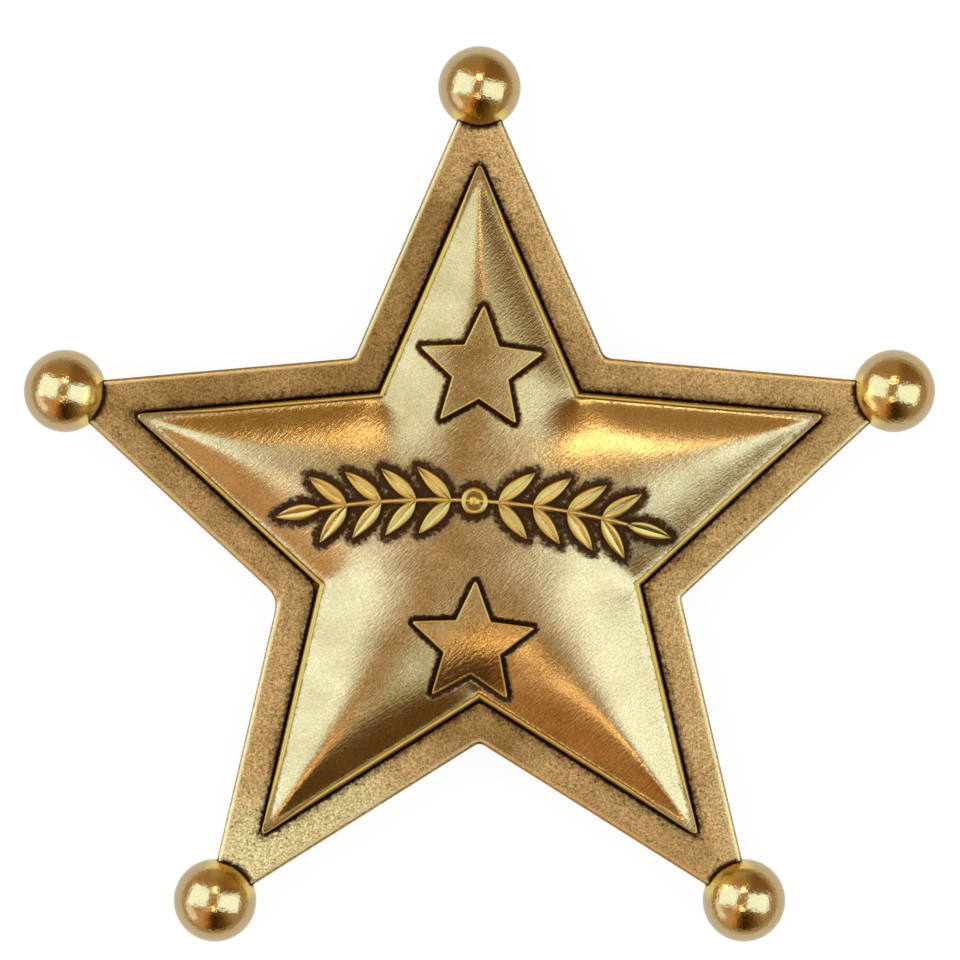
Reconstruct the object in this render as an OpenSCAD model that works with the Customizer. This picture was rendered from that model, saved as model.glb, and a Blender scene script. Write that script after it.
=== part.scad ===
// A five-pointed star badge with a ball on each point, lying on its back.
// The star faces up (+Z) with its top point towards +Y. The origin is on the surface that the
// badge lies on, under the middle of its outline. Lengths are in millimetres.

/* [Flat star] */
// Distance from the star's centre to the centre of the top ball
arm_reach = 36.8; // [34:0.1:42]
// Distance from the star's centre to a notch of the flat star
notch_reach = 17.5; // [16.5:0.1:20]
// Distance past a ball's centre at which an arm's edges would meet
tip_overrun = 1.5; // [0.8:0.1:2.2]
// Thickness of the flat star
plate_t = 2; // [1.6:0.1:2.4]
// Length of edge that the rounding takes at each side of a notch
notch_round = 0.5; // [0.2:0.1:1]

/* [Balls] */
// Radius of a ball
ball_r = 3.4; // [3.1:0.1:4]
// Radius of the peg that holds a ball
peg_r = 0.6; // [0.4:0.05:0.7]
// Depth of the peg inside the ball
peg_depth = 2.5; // [1.5:0.1:3]
// Length of the peg's root inside the arm
peg_root = 2; // [1:0.1:4]

/* [Domed star] */
// Width of the flat border between the dome and the flat star's edge
rim_w = 3; // [2.6:0.1:3.4]
// Length of edge that the rounding takes at each side of a point of the dome
dome_tip_round = 0.8; // [0.3:0.1:1.2]
// Height that the dome gains from its lip to its middle
dome_rise = 2.3; // [1.8:0.1:2.7]
// Steepness of the dome's slope above its foot, as height gained per length
dome_slope = 0.55; // [0.45:0.05:0.65]
// Sharpness of the ridges along the dome's arms, where a larger value makes them narrower
ridge_sharpness = 3; // [2.5:0.5:6]
// Height of the rounded lip along the dome's foot
lip_h = 0.6; // [0.4:0.05:0.9]
// Width of the rounded lip
lip_w = 0.45; // [0.3:0.05:0.7]
// Width over which the foot of the slope curves up behind the lip
cove_w = 0.25; // [0.15:0.05:0.4]
// Thickness of the sheet that the dome is pressed from
shell_t = 0.9; // [0.7:0.05:1.1]
// Depth of the seat in the flat star that holds the dome's foot
seat_depth = 0.5; // [0.3:0.05:0.7]

/* [Relief] */
// Height of the small stars and the laurel over the dome
relief_h = 0.45; // [0.2:0.05:0.7]
// Distance from a small star's centre to its points
small_star_reach = 5.45; // [4.5:0.05:5.8]
// Distance from a small star's centre to its notches
small_star_notch = 2.45; // [1.8:0.05:2.9]
// Turn of the small stars, in degrees
small_star_turn = -3; // [-6:0.5:6]
// Sideways place of the upper small star's centre
upper_star_x = 0.1; // [-0.6:0.1:0.6]
// Height of the upper small star's centre over the star's centre
upper_star_y = 13.5; // [12.5:0.1:14]
// Sideways place of the lower small star's centre
lower_star_x = -0.6; // [-1:0.1:1]
// Depth of the lower small star's centre under the star's centre
lower_star_y = 9.1; // [8:0.1:9.5]

/* [Laurel] */
// Half of the laurel's length along its stem
laurel_half_len = 16.5; // [15.5:0.1:17]
// Radius of the arch that the stem follows
laurel_arch_r = 62; // [50:1:120]
// Sideways place of the laurel's middle
laurel_x = -0.4; // [-1:0.1:1]
// Height of the laurel's middle over the star's centre
laurel_y = 2.7; // [2:0.1:3.4]
// Turn of the laurel, in degrees
laurel_turn = -3; // [-6:0.5:6]
// Pairs of leaves on each half of the stem
leaf_pairs = 4; // [3:1:4]
// Length of a leaf
leaf_len = 3.9; // [3:0.1:4.2]
// Width of a leaf
leaf_w = 1.35; // [1:0.05:1.5]
// Angle between a leaf and the stem, in degrees
leaf_angle = 45; // [36:1:50]
// Width of the stem
stem_w = 0.5; // [0.4:0.05:0.7]
// Radius of the round boss in the middle of the stem
boss_r = 1.2; // [0.8:0.05:1.4]

/* [Pin] */
// Length of the strip that carries the pin
strip_len = 30; // [26:0.5:34]
// Width of the strip
strip_w = 4; // [3.4:0.1:5]
// Thickness of the strip
strip_t = 0.5; // [0.4:0.05:0.6]
// Height of the strip's middle line over the star's centre
pin_y = 4; // [2:0.1:6]
// Radius of the pin's wire
wire_r = 0.4; // [0.3:0.05:0.45]
// Clear space between the wire and the strip
cloth_gap = 0.6; // [0.4:0.05:0.65]
// Length of the hinge ear and of the catch along the pin
ear_len = 2.2; // [1.6:0.1:3]
// Distance between the two rivets
rivet_spacing = 16; // [12:0.5:20]
// Radius of a rivet
rivet_r = 0.8; // [0.6:0.05:1]

/* [Fit] */
// Clearance between pieces that seat on each other
fit_gap = 0.05; // [0.03:0.01:0.1]

/* [Hidden] */
// Columns of the table of arms
ANGLE = 0; // direction of the arm, in degrees
REACH = 1; // its length, as a share of the top arm's
NOTCH = 2; // depth of the notch that follows it, as a share of the named notch
ROUND = 3; // length of that notch's rounding, as a share of the named length
ARMS = [
    [90.0, 1.000, 1.016, 1.0],
    [161.0, 0.982, 0.995, 2.4],
    [234.2, 1.013, 0.983, 1.0],
    [305.8, 1.013, 0.995, 0.5],
    [379.0, 0.982, 1.016, 1.2],
];
TOP = 0;
LEFT = 1;
LOWER_LEFT = 2;
LOWER_RIGHT = 3;
RIGHT = 4;

// Longest step of the dome's mesh along its foot, and the number of its rings
dome_step = 3;
dome_rings = 9;
core_step = 7;
core_rings = 5;
round_steps = 3;
stem_steps = 14;
cap_steps = 6;
// How far a cutting shape runs past what it cuts
overcut = 1;

full_turn = 360;
half_turn = 180;
quarter_turn = 90;

function polar(r, a) = [r * cos(a), r * sin(a)];
function unit(v) = v / norm(v);
function next(list, i) = list[(i + 1) % len(list)];
function previous(list, i) = list[(i + len(list) - 1) % len(list)];

// The angle of the notch that follows arm i, halfway to the next arm
function notch_angle(i) =
    (ARMS[i][ANGLE] + next(ARMS, i)[ANGLE] + (i == len(ARMS) - 1 ? full_turn : 0)) / 2;

// The ten corners of a star, anticlockwise from its top point
function star_corners(tip_r, notch_r, overrun = 0) = [
    for (i = [0:len(ARMS) - 1]) each [
        polar(tip_r * ARMS[i][REACH] + overrun, ARMS[i][ANGLE]),
        polar(notch_r * ARMS[i][NOTCH], notch_angle(i)),
    ]
];

// An outline moved outwards by d, each corner going to where its moved edges meet
function grown(outline, d) = [
    for (i = [0:len(outline) - 1])
        let (
            into = unit(outline[i] - previous(outline, i)),
            out = unit(next(outline, i) - outline[i]),
            normal_in = [into.y, -into.x],
            normal_out = [out.y, -out.x]
        )
        outline[i] + (normal_in + normal_out) * d / (1 + normal_in * normal_out)
];

// A star's outline with every other corner rounded by a short curve, from the first one given
function rounded(outline, first, cuts) = [
    for (i = [0:len(outline) - 1])
        if (i % 2 != first) outline[i]
        else
            let (
                cut = cuts[(i - first) / 2],
                start = outline[i] - cut * unit(outline[i] - previous(outline, i)),
                end = outline[i] + cut * unit(next(outline, i) - outline[i])
            )
            each [
                for (k = [0:round_steps])
                    let (t = k / round_steps)
                    start * pow(1 - t, 2) + outline[i] * 2 * t * (1 - t) + end * pow(t, 2)
            ]
];

// In a star's list of corners the points come first, and each notch follows its point
POINTS = 0;
NOTCHES = 1;
plate_corners = star_corners(arm_reach, notch_reach, tip_overrun);
plate_outline = rounded(plate_corners, NOTCHES, [for (arm = ARMS) notch_round * arm[ROUND]]);
dome_corners = grown(plate_corners, -rim_w);
dome_outline = rounded(dome_corners, POINTS, [for (arm = ARMS) dome_tip_round]);

// The balls touch the surface below, and the flat star's middle is level with theirs
plate_bottom = ball_r - plate_t / 2;
plate_top = ball_r + plate_t / 2;
seat_floor = plate_top - seat_depth;

// The star's centre lies off the middle of the outline, because the top ball reaches further
top_edge = arm_reach + ball_r;
bottom_edge = arm_reach * ARMS[LOWER_LEFT][REACH] * sin(ARMS[LOWER_LEFT][ANGLE]) - ball_r;
centre_y = -(top_edge + bottom_edge) / 2;

// Distance from p to the stretch between a and b
function stretch_distance(p, a, b) =
    let (along = b - a, t = max(0, min(1, (p - a) * along / (along * along))))
    norm(p - a - t * along);

// Distance from p to the dome's foot
function foot_distance(p) = min([
    for (i = [0:len(dome_outline) - 1])
        stretch_distance(p, dome_outline[i], next(dome_outline, i))
]);

// The same distance blended where two edges are near, which rounds the ridges between them
function blended_distance(p) =
    let (
        nearness = [
            for (i = [0:len(dome_corners) - 1])
                pow(stretch_distance(p, dome_corners[i], next(dome_corners, i)), -ridge_sharpness)
        ]
    )
    pow(nearness * [for (value = nearness) 1], -1 / ridge_sharpness);

// Distance from the centre to the line of the nearest edge
function line_distance(a, b) = abs(a.x * b.y - a.y * b.x) / norm(b - a);
dome_apothem = min([
    for (i = [0:len(dome_corners) - 1])
        line_distance(dome_corners[i], next(dome_corners, i))
]);
foot_w = lip_w + cove_w;

// Sharpness of the bend at which the slope levels off towards the dome's middle
levelling = 4;

// Height of the pressed surface over the flat star: of its lip at distance d from the foot, and of
// its slope at blended distance d
function lip(d) = lip_h * sqrt(1 - pow(1 - min(1, d / lip_w), 2));
function swell(d) =
    let (run = max(0, d - lip_w), straight = dome_slope * pow(run, 2) / (run + cove_w))
    straight * dome_rise
        / pow(pow(straight, levelling) + pow(dome_rise, levelling), 1 / levelling);
function dome_height(p) = lip(foot_distance(p)) + swell(blended_distance(p));
dome_top = plate_top + dome_height([0, 0]);

// An outline with each edge divided into equal steps, none longer than step
function divided(outline, step) = [
    for (i = [0:len(outline) - 1])
        let (edge = next(outline, i) - outline[i], steps = ceil(norm(edge) / step))
        each [for (k = [0:steps - 1]) outline[i] + edge * k / steps]
];

// Shares of the way to the centre at which the dome's rings lie: four on the lip and the cove
// behind it, and the rest evenly over the slope
lip_shoulder = 0.25;
function ring_shares(rings) = [
    each [0, lip_shoulder * lip_w, lip_w, foot_w] / dome_apothem,
    each [for (k = [1:rings - 1])
        (foot_w + (dome_apothem - foot_w) * k / rings) / dome_apothem],
];

// The dome as a closed solid from z = bottom up to its surface, moved up by rise
module dome_body(rise, bottom, step, rings) {
    foot = divided(dome_outline, step);
    n = len(foot);
    shares = ring_shares(rings);
    surface = [
        for (share = shares, p = foot)
            let (q = p * (1 - share)) [q.x, q.y, plate_top + dome_height(q) + rise]
    ];
    points = [
        for (p = foot) [p.x, p.y, bottom],
        each surface,
        [0, 0, dome_top + rise],
    ];
    apex = len(points) - 1;
    faces = [
        [for (i = [0:n - 1]) i],
        for (ring = [0:len(shares) - 1], i = [0:n - 1])
            let (j = (i + 1) % n, a = ring * n + i, b = ring * n + j)
            each [[a, a + n, b + n], [a, b + n, b]],
        for (i = [0:n - 1]) [apex - n + i, apex, apex - n + (i + 1) % n],
    ];
    polyhedron(points, faces);
}

// The hollow behind the dome, which keeps the sheet's thickness above it and beside it
module dome_hollow() {
    intersection() {
        dome_body(-shell_t, seat_floor - shell_t - overcut, core_step, core_rings);
        translate([0, 0, seat_floor - shell_t - overcut])
            linear_extrude(dome_top) polygon(grown(dome_corners, -shell_t));
    }
}

// A five-pointed star of equal arms
module small_star(x, y) {
    translate([x, y]) rotate(small_star_turn) polygon([
        for (i = [0:len(ARMS) - 1]) each [
            polar(small_star_reach, quarter_turn + i * full_turn / len(ARMS)),
            polar(small_star_notch, quarter_turn + (i + 0.5) * full_turn / len(ARMS)),
        ]
    ]);
}

// Puts its children on the stem's line, s along it from the middle
module on_stem(s) {
    a = s / laurel_arch_r * half_turn / PI;
    translate([laurel_arch_r * sin(a), laurel_arch_r * (cos(a) - 1)]) rotate(-a) children();
}

function arch_point(s, offset) =
    let (a = s / laurel_arch_r * half_turn / PI)
    [(laurel_arch_r + offset) * sin(a), (laurel_arch_r + offset) * cos(a) - laurel_arch_r];

// The arched stem, with round ends
module stem(half_len, w) {
    straight = half_len - w / 2;
    along = [for (k = [0:stem_steps]) straight * (2 * k / stem_steps - 1)];
    polygon([
        each [for (s = along) arch_point(s, w / 2)],
        each [for (k = [1:cap_steps - 1])
            let (a = quarter_turn - k * half_turn / cap_steps)
            arch_point(straight + w / 2 * cos(a), w / 2 * sin(a))],
        each [for (s = along) arch_point(-s, -w / 2)],
        each [for (k = [1:cap_steps - 1])
            let (a = quarter_turn - k * half_turn / cap_steps)
            arch_point(-straight - w / 2 * cos(a), -w / 2 * sin(a))],
    ]);
}

// Place of a leaf's widest part, as a share of its length
leaf_belly = 0.45;
// Place of the first pair of leaves past the boss, as a share of the distance between pairs
leaf_start = 0.25;

// A pointed leaf along +X, from its base at the origin
module leaf() {
    point_r = leaf_w / 8;
    hull() {
        translate([point_r, 0]) circle(point_r, $fn = 6);
        translate([leaf_len * leaf_belly, 0]) circle(leaf_w / 2, $fn = 12);
        translate([leaf_len - point_r, 0]) circle(point_r, $fn = 6);
    }
}

// One half of the laurel, from the middle towards +X: pairs of leaves and one at the end
module spray() {
    end_leaf = laurel_half_len - leaf_len;
    pitch = (end_leaf - boss_r) / leaf_pairs;
    for (i = [0:leaf_pairs - 1], side = [-1, 1])
        on_stem(boss_r + (i + leaf_start) * pitch) rotate(side * leaf_angle) leaf();
    on_stem(end_leaf) leaf();
}

// The laurel: two sprays on one stem, with a round boss in the middle
module laurel() {
    spray();
    mirror([1, 0]) spray();
    stem(laurel_half_len - leaf_len + stem_w, stem_w);
    circle(boss_r, $fn = 24);
}

module place_laurel() {
    translate([laurel_x, laurel_y]) rotate(laurel_turn) children();
}

// Stands a flat shape up through the dome
module through_dome() {
    translate([0, 0, seat_floor]) linear_extrude(dome_top) children();
}

module place_centre() {
    translate([0, centre_y, 0]) children();
}

// Puts its children at ball i, with +X pointing outwards along the arm
module at_ball(i) {
    rotate(ARMS[i][ANGLE]) translate([arm_reach * ARMS[i][REACH], 0, ball_r]) children();
}

module star_plate() {
    color("#b0854f") place_centre() difference() {
        union() {
            difference() {
                translate([0, 0, plate_bottom]) linear_extrude(plate_t) polygon(plate_outline);
                for (i = [0:len(ARMS) - 1])
                    at_ball(i) sphere(ball_r + fit_gap, $fn = 64);
            }
            for (i = [0:len(ARMS) - 1])
                at_ball(i) translate([-ball_r - peg_root, 0, 0]) rotate([0, quarter_turn, 0])
                    cylinder(h = peg_root + peg_depth, r = peg_r, $fn = 32);
        }
        translate([0, 0, seat_floor - fit_gap])
            linear_extrude(plate_t) polygon(grown(dome_outline, fit_gap));
        for (side = [-1, 1])
            translate([side * rivet_spacing / 2, pin_y, plate_bottom - overcut])
                cylinder(h = plate_t + 2 * overcut, r = rivet_r + fit_gap, $fn = 32);
    }
}

module domed_star() {
    color("#c69c56") place_centre() difference() {
        union() {
            dome_body(0, seat_floor, dome_step, dome_rings);
            intersection() {
                dome_body(relief_h, seat_floor - overcut, dome_step, dome_rings);
                through_dome() {
                    small_star(upper_star_x, upper_star_y);
                    small_star(lower_star_x, -lower_star_y);
                    place_laurel() laurel();
                }
            }
        }
        dome_hollow();
    }
}

module ball(i) {
    color("#cba45c") place_centre() at_ball(i) difference() {
        sphere(ball_r, $fn = 64);
        translate([-ball_r - overcut, 0, 0]) rotate([0, quarter_turn, 0])
            cylinder(h = overcut + peg_depth + fit_gap, r = peg_r + fit_gap, $fn = 32);
    }
}

// The strip is riveted to the flat star's back, and carries the wire between an ear and a catch
module pin_back() {
    strip_top = plate_bottom - fit_gap;
    strip_bottom = strip_top - strip_t;
    wire_z = strip_bottom - cloth_gap - wire_r;
    ear_bottom = wire_z - wire_r;
    color("#a88a54") place_centre() translate([0, pin_y, 0]) {
        translate([-strip_len / 2, -strip_w / 2, strip_bottom])
            cube([strip_len, strip_w, strip_t]);
        for (side = [-1, 1]) {
            translate([side * rivet_spacing / 2, 0, strip_bottom])
                cylinder(h = seat_floor - fit_gap - strip_bottom, r = rivet_r, $fn = 32);
            translate([side * (strip_len - ear_len) / 2 - ear_len / 2, -strip_w / 4, ear_bottom])
                cube([ear_len, strip_w / 2, strip_top - ear_bottom]);
        }
        translate([-strip_len / 2 + ear_len / 2, 0, wire_z]) rotate([0, quarter_turn, 0])
            cylinder(h = strip_len - ear_len, r = wire_r, $fn = 32);
    }
}

star_plate();
domed_star();
ball(TOP);  // ball_top
ball(LEFT);  // ball_left
ball(RIGHT);  // ball_right
ball(LOWER_LEFT);  // ball_lower_left
ball(LOWER_RIGHT);  // ball_lower_right
pin_back();
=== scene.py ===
import math

import bpy
import numpy as np
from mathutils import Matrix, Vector


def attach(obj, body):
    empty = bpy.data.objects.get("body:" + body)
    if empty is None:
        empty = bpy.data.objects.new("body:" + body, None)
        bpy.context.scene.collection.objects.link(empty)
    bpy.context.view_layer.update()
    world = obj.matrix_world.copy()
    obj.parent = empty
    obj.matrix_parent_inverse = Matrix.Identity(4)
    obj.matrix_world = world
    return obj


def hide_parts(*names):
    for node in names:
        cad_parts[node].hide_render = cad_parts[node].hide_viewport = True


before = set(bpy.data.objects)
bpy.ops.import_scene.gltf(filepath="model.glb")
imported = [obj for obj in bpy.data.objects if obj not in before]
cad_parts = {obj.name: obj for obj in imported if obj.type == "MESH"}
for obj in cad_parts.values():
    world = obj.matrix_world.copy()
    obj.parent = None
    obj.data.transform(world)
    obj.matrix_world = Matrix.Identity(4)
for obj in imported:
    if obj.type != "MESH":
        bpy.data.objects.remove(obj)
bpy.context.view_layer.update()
bpy.ops.object.select_all(action="DESELECT")

mm = 0.001


# Star outline, in millimetres: direction, reach share and notch share of each arm
starShape = {
    "armReach": 36.8,
    "notchReach": 17.5,
    "tipOverrun": 1.5,
    "arms": [
        (90.0, 1.000, 1.016),
        (161.0, 0.982, 0.995),
        (234.2, 1.013, 0.983),
        (305.8, 1.013, 0.995),
        (379.0, 0.982, 1.016),
    ],
    "centreY": -3.282,
    "ballRadius": 3.4,
    "plateThickness": 2.0,
    "rimWidth": 3.0,
}
ballLevel = starShape["ballRadius"]
plateTop = ballLevel + starShape["plateThickness"] / 2
plateBottom = ballLevel - starShape["plateThickness"] / 2


def polar(r, degrees):
    a = math.radians(degrees)
    return np.array([r * math.cos(a), r * math.sin(a)])


def turned(points, degrees):
    a = math.radians(degrees)
    return points @ np.array([[math.cos(a), math.sin(a)], [-math.sin(a), math.cos(a)]])


def starCorners():
    arms = starShape["arms"]
    corners = []
    for i, (angle, reach, notch) in enumerate(arms):
        nextAngle = arms[(i + 1) % 5][0] + (360 if i == 4 else 0)
        corners.append(polar(starShape["armReach"] * reach + starShape["tipOverrun"], angle))
        corners.append(polar(starShape["notchReach"] * notch, (angle + nextAngle) / 2))
    return np.array(corners)


ballSpots = np.array([
    polar(starShape["armReach"] * reach, angle) for angle, reach, _ in starShape["arms"]])


# An anticlockwise outline moved outwards by d, with mitred corners
def grown(outline, d):
    into = outline - np.roll(outline, 1, axis=0)
    out = np.roll(outline, -1, axis=0) - outline
    into /= np.linalg.norm(into, axis=1)[:, None]
    out /= np.linalg.norm(out, axis=1)[:, None]
    normalIn = np.stack([into[:, 1], -into[:, 0]], axis=1)
    normalOut = np.stack([out[:, 1], -out[:, 0]], axis=1)
    dot = (normalIn * normalOut).sum(axis=1)[:, None]
    return outline + (normalIn + normalOut) * d / (1 + dot)


# A star outline with its corners rounded by the given cuts, and its straight edges in equal steps
def starLoop(corners, cuts, steps=1, roundSteps=4):
    points = []
    n = len(corners)
    ends = []
    for i, corner in enumerate(corners):
        before, after = corners[i - 1] - corner, corners[(i + 1) % n] - corner
        start = corner + before / np.linalg.norm(before) * cuts[i]
        end = corner + after / np.linalg.norm(after) * cuts[i]
        ends.append((start, end))
    for i, corner in enumerate(corners):
        start, end = ends[i]
        for k in range(roundSteps + 1):
            t = k / roundSteps
            points.append(start * (1 - t) ** 2 + corner * 2 * t * (1 - t) + end * t * t)
        goal = ends[(i + 1) % n][0]
        for k in range(1, steps):
            points.append(end + (goal - end) * k / steps)
    return np.array(points)


def segmentDistances(points, outline):
    rows = []
    for a, b in zip(outline, np.roll(outline, -1, axis=0)):
        along = b - a
        t = np.clip((points - a) @ along / max(along @ along, 1e-12), 0, 1)
        rows.append(np.linalg.norm(points - a - t[:, None] * along, axis=1))
    return np.array(rows)


def insideOutline(points, outline):
    inside = np.zeros(len(points), bool)
    x, y = points[:, 0], points[:, 1]
    for a, b in zip(outline, np.roll(outline, -1, axis=0)):
        crosses = (a[1] > y) != (b[1] > y)
        with np.errstate(divide="ignore", invalid="ignore"):
            side = x < (b[0] - a[0]) * (y - a[1]) / (b[1] - a[1]) + a[0]
        inside ^= crosses & side
    return inside


# Distance to an outline, negative inside it
def signedDistance(points, outline):
    d = segmentDistances(points, outline).min(axis=0)
    return np.where(insideOutline(points, outline), -d, d)


def smooth(x, low, high):
    t = np.clip((x - low) / (high - low), 0, 1)
    return t * t * (3 - 2 * t)


# One between the first and last pair of limits, fading to zero past them
def between(x, low, lowEnd, high, highEnd):
    return smooth(x, low, lowEnd) * (1 - smooth(x, high, highEnd))


# Values of an outline's ten sides, blended from side to side
def sideValues(points, corners, values, softness=0.5, sharpness=6):
    nearness = (segmentDistances(points, corners) + softness) ** -sharpness
    return (nearness * np.array(values)[:, None]).sum(axis=0) / nearness.sum(axis=0)


# Sum of soft round spots, each given as x, y, radius and strength and full in its core
def spotted(points, spots, core=0.25):
    total = np.zeros(len(points))
    for x, y, radius, strength in spots:
        away = np.linalg.norm(points - np.array([x, y]), axis=1)
        total += strength * (1 - smooth(away, core * radius, radius))
    return total


def coordinates(obj):
    co = np.empty(len(obj.data.vertices) * 3)
    obj.data.vertices.foreach_get("co", co)
    return co.reshape(-1, 3)


def setCoordinates(obj, co):
    obj.data.vertices.foreach_set("co", co.ravel())
    obj.data.update()


# Badge plane to vertex positions: the star's centre lies a little below the origin
def placed(points, z):
    z = np.broadcast_to(z, len(points))
    return np.stack([points[:, 0], points[:, 1] + starShape["centreY"], z], axis=1) * mm


def starPlane(co):
    return np.stack([co[:, 0] / mm, co[:, 1] / mm - starShape["centreY"]], axis=1)


def setMask(obj, name, values):
    layer = obj.data.attributes.new(name, "FLOAT", "POINT")
    layer.data.foreach_set("value", np.clip(values, 0, 1).astype(np.float32))


# Extrudes a closed loop from ring to ring; each ring is (points, height)
def followRings(name, rings, capFirst=False, capLast=False):
    first = placed(*rings[0])
    bpy.ops.mesh.primitive_circle_add(vertices=len(first), radius=1, fill_type="NOTHING")
    obj = bpy.context.object
    obj.name = obj.data.name = name
    setCoordinates(obj, first)
    n = len(first)
    for k, ring in enumerate(rings[1:]):
        bpy.ops.object.mode_set(mode="EDIT")
        if k == 0:
            bpy.ops.mesh.select_all(action="SELECT")
            if capFirst:
                bpy.ops.mesh.edge_face_add()
        bpy.ops.mesh.extrude_edges_move()
        bpy.ops.object.mode_set(mode="OBJECT")
        co = coordinates(obj)
        previous = placed(*rings[k])
        match = [int(np.argmin(((previous - p) ** 2).sum(axis=1))) for p in co[-n:]]
        co[-n:] = placed(*ring)[match]
        setCoordinates(obj, co)
    if capLast:
        bpy.ops.object.mode_set(mode="EDIT")
        bpy.ops.mesh.edge_face_add()
        bpy.ops.object.mode_set(mode="OBJECT")
    return obj


def faceCentres(obj):
    centres = np.empty(len(obj.data.polygons) * 3)
    obj.data.polygons.foreach_get("center", centres)
    return starPlane(centres.reshape(-1, 3))


def editFaces(obj, mask, action):
    obj.data.polygons.foreach_set("select", mask)
    obj.data.edges.foreach_set("select", np.zeros(len(obj.data.edges), bool))
    obj.data.vertices.foreach_set("select", np.zeros(len(obj.data.vertices), bool))
    bpy.context.tool_settings.mesh_select_mode = (False, False, True)
    bpy.ops.object.mode_set(mode="EDIT")
    action()
    bpy.ops.object.mode_set(mode="OBJECT")


# A fine flat grid trimmed to an outline, ready to be raised
def trimmedGrid(name, outline, spacing):
    low, high = outline.min(axis=0) - spacing, outline.max(axis=0) + spacing
    size = max(high - low)
    middle = placed(np.array([(low + high) / 2]), 0)[0]
    cells = int(math.ceil(size / spacing))
    bpy.ops.mesh.primitive_grid_add(
        x_subdivisions=cells, y_subdivisions=cells, size=size * mm, location=middle)
    obj = bpy.context.object
    bpy.ops.object.transform_apply()
    obj.name = obj.data.name = name
    far = signedDistance(faceCentres(obj), outline) > 1.5 * spacing
    editFaces(obj, far, lambda: bpy.ops.mesh.delete(type="FACE"))
    for a, b in zip(outline, np.roll(outline, -1, axis=0)):
        if np.linalg.norm(b - a) < 1e-4:
            continue
        near = segmentDistances(faceCentres(obj), np.array([a, b]))[0] < 1.2 * spacing
        where = placed(np.array([a]), 0)[0]
        across = Vector((b[1] - a[1], a[0] - b[0], 0)).normalized()
        editFaces(obj, near, lambda: bpy.ops.mesh.bisect(plane_co=where, plane_no=across))
    outside = signedDistance(faceCentres(obj), outline) > 0
    editFaces(obj, outside, lambda: bpy.ops.mesh.delete(type="FACE"))
    return obj


def selectOnly(objects):
    bpy.ops.object.select_all(action="DESELECT")
    for obj in objects:
        obj.select_set(True)
    bpy.context.view_layer.objects.active = objects[0]


def joined(name, objects):
    selectOnly(objects)
    bpy.ops.object.join()
    obj = bpy.context.object
    obj.name = obj.data.name = name
    return obj


def duplicated(obj):
    selectOnly([obj])
    bpy.ops.object.duplicate()
    return bpy.context.object


def shadeSmooth(obj, angle=None):
    selectOnly([obj])
    if angle is None:
        bpy.ops.object.shade_smooth()
    else:
        bpy.ops.object.shade_smooth_by_angle(angle=math.radians(angle))


def normalsOut(obj):
    selectOnly([obj])
    bpy.ops.object.mode_set(mode="EDIT")
    bpy.ops.mesh.select_all(action="SELECT")
    bpy.ops.mesh.normals_make_consistent(inside=False)
    bpy.ops.object.mode_set(mode="OBJECT")


plateCorners = starCorners()
domeCorners = grown(plateCorners, -starShape["rimWidth"])


# Flat star

plateValues = {
    "tipRound": 0.3,
    "seatTipRound": 1.5,
    # rounding of the five notches, from the upper left one anticlockwise
    "notchRounds": [0.5, 1.2, 0.5, 0.25, 0.6],
    "edgeSteps": 24,
    # inset from the outline and height over the bottom face, outside wall to the dome's seat
    "profile": [
        (3.0, 0.0), (0.25, 0.0), (0.07, 0.08), (0.0, 0.25), (0.0, 1.66), (0.03, 1.78),
        (0.1, 1.87), (0.22, 1.93), (0.5, 1.965), (1.0, 1.99), (1.5, 2.0), (2.1, 2.0),
        (2.45, 1.997), (2.65, 1.985), (2.8, 1.96), (2.9, 1.9), (2.95, 1.8), (2.96, 1.46), (4.2, 1.45),
    ],
    # the profile's inset past which the points have the seat's rounding
    "seatInset": 2.4,
    "ballGap": 0.05,
    # tarnish of the ten sides, from the top ball anticlockwise, two to an arm
    "tarnishAndShade": [0.9, 0.8, 0.55, 0.12, 0.12, 0.32, 0.05, 0.4, 0.35, 0.3],
    # spots polished pale near the lower left ball, and darker or lighter ones elsewhere
    "paleSpots": [(-17.6, -26.8, 7.5, 0.85), (-10.5, -22.5, 5.5, 0.6)],
    "darkSpots": [
        (0.0, -17.0, 6.0, 0.8), (-10.0, 14.5, 6.0, 0.4), (10.0, 14.5, 5.0, 0.3), (0.0, 31.0, 6.0, -0.6),
    ],
    # tarnish added towards the seat, and the insets between which it grows
    "seatTarnish": 0.3,
    "seatTarnishInsets": (1.5, 2.7),
    # patina beside the dome: strength, and the distances between which it fades
    "groove": (0.95, 0.1, 0.5),
    "grooveHaze": (0.55, 0.3, 1.3),
    # patina of the side walls, and the heights between which it fades
    "wallPatina": 0.5,
    "wallHeights": (1.7, 1.86),
    # the worn edge: insets and heights between which it comes and goes
    "wornInsets": (0.06, 0.14, 0.16, 0.4),
    "wornHeights": (1.8, 1.9),
    # edges that turn by more degrees than this stay sharp
    "sharpAngle": 50,
}


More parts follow.
